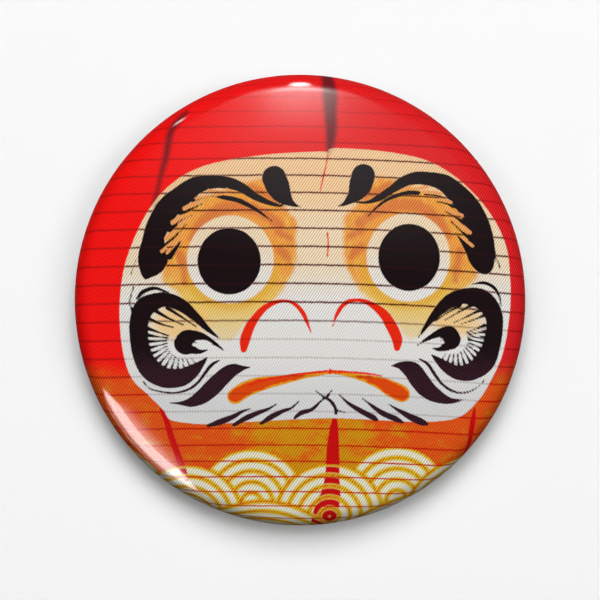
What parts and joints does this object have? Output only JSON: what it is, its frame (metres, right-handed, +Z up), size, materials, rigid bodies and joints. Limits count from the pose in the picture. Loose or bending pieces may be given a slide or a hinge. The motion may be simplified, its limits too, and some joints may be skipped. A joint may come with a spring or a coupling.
{
  "type": "pin-back button badge",
  "caption": "Round domed tin badge with a printed daruma face under clear film and a swinging safety pin on its pressed back.",
  "frame": {"origin": "middle of the plane of the rim's rear ring, where the cloth lies", "axes": "+Y out of the back into the cloth, so the printed front faces -Y; +Z up the print; +X to the right seen from the front"},
  "size_m": [0.058, 0.008, 0.058],
  "materials": {
    "clear_film": "glossy clear polyester over a red print",
    "printed_paper": "matt printed paper",
    "front_shell": "bare tinplate",
    "back_plate": "bare tinplate, rolled grain",
    "pin_wire": "nickel-plated spring wire",
    "pin_catch": "nickel-plated sheet"
  },
  "bodies": {
    "badge": {"clear_film": "clear_film", "printed_paper": "printed_paper", "front_shell": "front_shell", "back_plate": "back_plate", "pin_spring": "pin_wire", "pin_catch": "pin_catch"},
    "needle": {"pin_needle": "pin_wire"}
  },
  "joints": [
    {"name": "needle_swing", "type": "hinge", "parent": "badge", "child": "needle", "pos_m": [0.01785, 0.00095, 0.0041], "axis": [0, -1, 0], "range_deg": [0, 35]}
  ]
}
